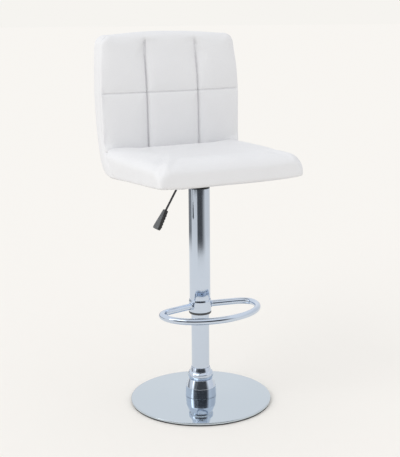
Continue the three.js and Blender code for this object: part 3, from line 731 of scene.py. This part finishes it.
def seat_point(p):
    """World point of the seat cushion for (x, y, z): its sides reach down over the shell as boxing."""
    low, high = (-HALF, FRONT - 1, SEAT_LOW), (HALF, 162, SEAT + 1)
    broad = smooth(648, 674, p[2])
    x, y, z = softened(p, low, high, (5 + 29 * broad, 5 + 27 * broad, 5 + 16 * broad))
    middle = (low[1] + high[1]) / 2
    if y < middle:
        x, centred = rounded_corner(x, y - middle, HALF, middle - low[1], CORNER_FRONT)
        y = centred + middle
    relative = x / HALF
    upper = smooth(662, 690, z)
    under = float(np.interp(y, [-190, -130, -60, 26, 95], [632, 629, 625, 621, 617]))
    bottom = under + 1.5 + 34 * smooth(80, 140, y) - 3.0 * (1 - relative ** 4) * (1 - smooth(-190, -30, y))
    bulge = 1.4 * math.sin(math.pi * smooth(640, 692, z)) * smooth(0.85, 1, abs(relative))
    x = relative * half_width(z) + math.copysign(bulge * (1 - 0.6 * smooth(60, 130, y)), x)
    z += (bottom - SEAT_LOW) * (1 - smooth(SEAT_LOW, 672, z))
    z += upper * 4.0 * (1 - relative ** 2) * math.cos((y + 20) / 380 * math.pi)
    z += upper * 2.5 * relative ** 2 * math.exp(-((y + 90) / 80) ** 2)
    z += upper * 8 * smooth(140, 205, abs(x)) * smooth(125, 155, y)
    z -= upper * 9 * (1 - smooth(60, 150, abs(x))) * smooth(80, 135, y)
    for side in (-1, 1):
        z -= upper * 6 * math.exp(-((x - side * SEAM_X) / 15) ** 2 - ((y - 140) / 15) ** 2)
    z += 2.0 * upper * (1 - smooth(-190, -120, y))
    return Vector((x, y, z))


def inflate(obj, pinned, pressure, cap):
    """Cloth simulation of a cover over its foam: the points that aren't pinned swell by cap at most."""
    start = np.array([v.co for v in obj.data.vertices])
    group = obj.vertex_groups.new(name="sewn")
    group.add([int(i) for i in pinned], 1.0, "REPLACE")
    modifier = obj.modifiers.new("Cloth", "CLOTH")
    cloth = modifier.settings
    cloth.quality = 6
    cloth.mass = 0.3
    cloth.tension_stiffness = 15
    cloth.compression_stiffness = 15
    cloth.shear_stiffness = 6
    cloth.bending_stiffness = 0.8
    cloth.use_pressure = True
    cloth.uniform_pressure_force = pressure
    cloth.vertex_group_mass = "sewn"
    cloth.effector_weights.gravity = 0
    modifier.collision_settings.use_collision = False
    scene = bpy.context.scene
    for step in range(1, 21):
        scene.frame_set(step)
    shown = obj.evaluated_get(bpy.context.evaluated_depsgraph_get())
    end = np.array([v.co for v in shown.data.vertices])
    obj.modifiers.remove(modifier)
    obj.vertex_groups.remove(group)
    scene.frame_set(1)
    move = end - start
    size = np.linalg.norm(move, axis=1, keepdims=True)
    limit = cap * MM
    move *= limit * np.tanh(size / limit) / np.maximum(size, 1e-9)
    obj.data.vertices.foreach_set("co", (start + move).ravel())
    obj.data.update()
    return float(size.max() / MM)


def subdivide(obj, levels):
    modifier = obj.modifiers.new("Subdivision", "SUBSURF")
    modifier.levels = levels
    shown = obj.evaluated_get(bpy.context.evaluated_depsgraph_get())
    mesh = bpy.data.meshes.new_from_object(shown)
    obj.modifiers.remove(modifier)
    old = obj.data
    obj.data = mesh
    mesh.name = obj.name
    bpy.data.meshes.remove(old)
    for polygon in mesh.polygons:
        polygon.use_smooth = True


def sew(obj, lines, depth, width, pucker=0.0, dark=0.3):
    """Pulls a mesh in along seam lines (points in millimetres), with small puckers and a painted shade
    value that darkens the seam grooves.
    """
    mesh = obj.data
    marks = [p for line in lines for p in line]
    tree = kdtree.KDTree(len(marks))
    walked = []
    for line in lines:
        distance = 0.0
        for i, p in enumerate(line):
            distance += (p - line[i - 1]).length if i else 0
            walked.append(distance)
    for i, p in enumerate(marks):
        tree.insert(p * MM, i)
    tree.balance()
    attribute = mesh.attributes.get("crease_shade") or mesh.attributes.new("crease_shade", "FLOAT", "POINT")
    values = np.zeros(len(mesh.vertices), np.float32)
    attribute.data.foreach_get("value", values)
    normals = [v.normal.copy() for v in mesh.vertices]
    reach = width * 3.2
    for v in mesh.vertices:
        _, index, away = tree.find(v.co)
        away /= MM
        if away > reach:
            continue
        push = 0.0
        if away < width:
            push = depth * (1 - math.sin(away / width * math.pi / 2))
            # Painted shade: darkest at the groove's bottom, fading out across its width.
            values[v.index] = max(values[v.index], dark * (1 - away / width) ** 1.5)
        if pucker:
            along = walked[index]
            wave = noise.noise(Vector((along / 7.0, marks[index].z / 60.0, 3.7)))
            wave += 0.6 * noise.noise(Vector((along / 3.1, 9.1, marks[index].x / 60.0)))
            push += pucker * wave * (1 - away / reach) ** 1.5 * min(1.0, away / (width * 0.5))
        v.co -= normals[v.index] * push * MM
    attribute.data.foreach_set("value", values)
    mesh.update()


def drape_noise(obj, height, scale):
    """Slow unevenness of stuffed foam, along the normals."""
    normals = [v.normal.copy() for v in obj.data.vertices]
    for v in obj.data.vertices:
        p = v.co / MM / scale
        v.co += normals[v.index] * MM * height * (noise.noise(p) + 0.4 * noise.noise(p * 2.3))
    obj.data.update()


def spaced(low, high, step):
    count = max(2, round((high - low) / step))
    return [low + (high - low) * k / count for k in range(count + 1)]


def lattice(xs, ys, zs, place):
    """Block over three lists of lattice coordinates."""
    points, faces, index = block(
        (len(xs) - 1, len(ys) - 1, len(zs) - 1), lambda i, j, k: place((xs[i], ys[j], zs[k])))
    return points, faces, index


def build_shell():
    xs, ss, ds = spaced(-HALF, HALF, 7), spaced(0, PATH, 7), spaced(0, DEPTH, 6.5)
    points, faces, _ = lattice(xs, ss, ds, shell_point)
    covered = ["outer_cover", "plywood_shell"]
    shell = piece("outer_cover", points, faces, LEATHER, "seat", covered, 0)
    subdivide(shell, 1)
    rim = 0.01
    around = []
    for d, start in ((rim, 0), (DEPTH - rim, 0.55 * PATH)):
        line = [shell_point((-HALF, s, d)) for s in spaced(start, PATH, 2)]
        line += [shell_point((x, PATH, d)) for x in spaced(-HALF, HALF, 2)]
        line += [shell_point((HALF, s, d)) for s in spaced(PATH, start, -2)]
        if not start:
            line += [shell_point((x, 0, d)) for x in spaced(HALF, -HALF, -2)]
        around.append(line)
    drape_noise(shell, 0.5, 60)
    # The last argument is the strength of the painted shade in the seam grooves.
    sew(shell, around, 1.8, 4.0, 0.45, 0.30)
    return shell


def build_back():
    top = TOP + 1
    inner, outer = SEAM_X - 9, SEAM_X + 9
    xs = spaced(-HALF, -outer, 6.2)[:-1] + spaced(-outer, -inner, 1.8)[:-1]
    xs += spaced(-inner, inner, 6.2)[:-1] + spaced(inner, outer, 1.8)[:-1] + spaced(outer, HALF, 6.2)
    zs = spaced(BACK_LOW, SEAM_Z - 8, 6.2)[:-1] + spaced(SEAM_Z - 8, SEAM_Z + 8, 2)[:-1]
    zs += spaced(SEAM_Z + 8, top, 6.2)
    ds = spaced(0, BACK_THICK, 5.6)
    points, faces, index = lattice(xs, zs, ds, back_point)
    back = piece("back_cushion", points, faces, LEATHER, "seat", ["back_cushion"], 0)
    pinned = []
    for (i, j, k), number in index.items():
        x, z = xs[i], zs[j]
        sewn = abs(abs(x) - SEAM_X) < 3 and z < 972 or abs(z - SEAM_Z) < 2.5
        if k > 1 or sewn or j == 0:
            pinned.append(number)
    print("back swelled", inflate(back, pinned, 4.0, 5.0))
    subdivide(back, 1)
    drape_noise(back, 0.5, 55)
    seams = []
    for side in (-1, 1):
        seams.append([back_point((side * SEAM_X, z, 0)) for z in spaced(JUNCTION_Z + 2, 974, 2)])
    level = [[back_point((x, SEAM_Z, 0)) for x in spaced(-HALF + 4, HALF - 4, 2)]]
    # The last arguments set the strength of the painted shade in each groove.
    sew(back, seams, 2.0, 4.0, 0.5, 0.36)
    sew(back, level, 1.4, 4.0, 0.45, 0.16)
    return back


def build_seat():
    xs, ys = spaced(-HALF, HALF, 7), spaced(FRONT - 1, 162, 7)
    zs = spaced(SEAT_LOW, SEAT + 1, 6.0)
    points, faces, index = lattice(xs, ys, zs, seat_point)
    seat = piece("seat_cushion", points, faces, LEATHER, "seat", ["seat_cushion"], 0)
    pinned = [number for (_, j, _), number in index.items() if points[number].z < 672 or ys[j] > 156]
    print("seat swelled", inflate(seat, pinned, 4.0, 6.0))
    subdivide(seat, 1)
    drape_noise(seat, 0.6, 60)
    return seat


# ---- CAD nodes that stay ----------------------------------------------------------------------------

LOOKS = {
    "steel": STEEL, "black_steel": BLACK_STEEL, "black_plastic": BLACK_PLASTIC,
    "pale_plastic": PALE_PLASTIC, "rubber": RUBBER, "plywood": PLYWOOD, "chrome": CHROME,
    "white_leather": LEATHER, "white_padding": LEATHER,
}


def finish_cad_nodes():
    slots = {part["node"]: part["material_slot"] for part in frame["record"]["subparts"]}
    for name, obj in frame["nodes"].items():
        for holder in obj.material_slots:
            holder.material = LOOKS[slots[name]]


# ---- Studio -----------------------------------------------------------------------------------------

VIEW_ANGLE = math.radians(27.5)


def build_camera():
    data = bpy.data.cameras.new("camera")
    data.lens = 78.61
    data.sensor_width = 36
    data.clip_start, data.clip_end = 0.05, 200
    data.shift_x = 0.0012
    camera = bpy.data.objects.new("camera", data)
    bpy.context.scene.collection.objects.link(camera)
    distance, height, pitch, roll = 2.6, 1.0561, math.radians(12.46), math.radians(-0.5)
    camera.location = (-distance * math.sin(VIEW_ANGLE), -distance * math.cos(VIEW_ANGLE), height)
    camera.rotation_mode = "QUATERNION"
    turn = Matrix.Rotation(-VIEW_ANGLE, 4, "Z") @ Matrix.Rotation(math.pi / 2 - pitch, 4, "X")
    camera.rotation_quaternion = (turn @ Matrix.Rotation(roll, 4, "Z")).to_quaternion()
    bpy.context.scene.camera = camera


def sun_light(name, direction, strength, spread, color=(1, 1, 1)):
    data = bpy.data.lights.new(name, "SUN")
    data.energy = strength
    data.angle = math.radians(spread)
    data.color = color
    light = bpy.data.objects.new(name, data)
    light.rotation_euler = Vector(direction).to_track_quat("-Z", "Y").to_euler()
    bpy.context.scene.collection.objects.link(light)
    return light


def window(angle, low, high, fade_low, fade_high):
    """1 between two angles in degrees, fading to 0 over its own margin outside each of them."""
    return smooth(low - fade_low, low, angle) * (1 - smooth(high, high + fade_high, angle))


def surround_shade(angle, distance, height):
    """How dark the room is in a direction (degrees from the camera, positive to its right) at a place."""
    ring = smooth(1.65, 2.2, distance) * (1 - smooth(0.2, 1.0, height))
    if height < 0.01:
        ahead = window(angle, -18, 20, 10, 62) * smooth(1.62, 1.9, distance)
        behind = smooth(1.7, 2.1, distance)
    else:
        ahead = window(angle, -48, 42, 26, 30) * (1 - smooth(2.0, 2.7, height))
        behind = 1 - smooth(0.1, 0.5, height)
        ring = max(ring, window(angle, 105, 135, 40, 45) * (1 - smooth(1.9, 2.7, height)))
    return 0.95 * max(ahead, 0.8 * behind * window(angle, -176, -98, 12, 12), 0.14 * ring)


def build_surround():
    """Dark parts of the room that only show in reflections: a ring of floor and a wall around the stool."""
    look = material("room", (0.010, 0.012, 0.016), 0.9)
    fade = look.node_tree.nodes.new("ShaderNodeAttribute")
    fade.attribute_name = "shade"
    link(look, fade.outputs["Fac"], shader_of(look).inputs["Alpha"])
    out = Vector((-math.sin(VIEW_ANGLE), -math.cos(VIEW_ANGLE), 0))
    side = Vector((math.cos(VIEW_ANGLE), -math.sin(VIEW_ANGLE), 0))
    rows = [(d, 0.002) for d in (1.6, 1.7, 1.8, 1.9, 2.1, 2.6, 3.2)]
    rows += [(3.2, h) for h in (0.02, 0.1, 0.3, 0.5, 1.0, 1.5, 2.0, 2.2, 2.4, 2.6, 2.8)]
    columns = 120
    points, faces, shades = [], [], []
    for distance, height in rows:
        for k in range(columns + 1):
            angle = -180 + 360 * k / columns
            a = math.radians(angle)
            points.append((out * math.cos(a) + side * math.sin(a)) * distance + Vector((0, 0, height)))
            shades.append(surround_shade(angle, distance, height))
    width = columns + 1
    for i in range(len(rows) - 1):
        for k in range(columns):
            faces.append((i * width + k, i * width + k + 1, (i + 1) * width + k + 1, (i + 1) * width + k))
    mesh = bpy.data.meshes.new("room")
    mesh.from_pydata(points, [], faces)
    mesh.attributes.new("shade", "FLOAT", "POINT").data.foreach_set("value", np.array(shades, np.float32))
    mesh.materials.append(look)
    room = bpy.data.objects.new("room", mesh)
    bpy.context.scene.collection.objects.link(room)
    room.visible_camera = False
    room.visible_diffuse = False
    room.visible_shadow = False
    room.visible_transmission = False


def build_studio():
    scene = bpy.context.scene
    scene.view_settings.view_transform = "Standard"
    world = bpy.data.worlds.new("studio")
    scene.world = world
    world.use_nodes = True
    tree = world.node_tree
    background = tree.nodes["Background"]
    paths = tree.nodes.new("ShaderNodeLightPath")
    mix = tree.nodes.new("ShaderNodeMix")
    mix.data_type = "RGBA"
    mix.inputs[6].default_value = (0.93, 0.94, 0.96, 1)
    mix.inputs[7].default_value = (0.921, 0.905, 0.871, 1)
    tree.links.new(paths.outputs["Is Camera Ray"], mix.inputs[0])
    tree.links.new(mix.outputs[2], background.inputs["Color"])
    background.inputs["Strength"].default_value = 1.0
    tint = (0.885, 0.857, 0.812)
    floor_look = grained_material("studio_floor", tint, 0.8, 0.0, 60.0, 0.0001, tint)
    shader_of(floor_look).inputs["Specular IOR Level"].default_value = 0.0
    steps = 96
    rings = [0.6, 2.0, 8.0, 60.0]
    points, faces = [(0, 0, 0)], []
    for r in rings:
        for k in range(steps):
            a = 2 * math.pi * k / steps
            points.append((r * math.cos(a), r * math.sin(a), 0))
    for k in range(steps):
        faces.append((0, 1 + k, 1 + (k + 1) % steps))
    for level in range(len(rings) - 1):
        a, b = 1 + level * steps, 1 + (level + 1) * steps
        for k in range(steps):
            n = (k + 1) % steps
            faces.append((a + k, a + n, b + n, b + k))
    mesh = bpy.data.meshes.new("floor")
    mesh.from_pydata([(x, y, -0.0004) for x, y, _ in points], [], [tuple(reversed(face)) for face in faces])
    mesh.materials.append(floor_look)
    floor = bpy.data.objects.new("floor", mesh)
    bpy.context.scene.collection.objects.link(floor)
    sun_light("key", (0.90, 0.16, -0.55), 0.8, 50, (1.0, 1.0, 0.985))


build_camera()
build_studio()
build_surround()
build_base()
build_column()
build_release()
finish_cad_nodes()
build_shell()
build_back()
build_seat()
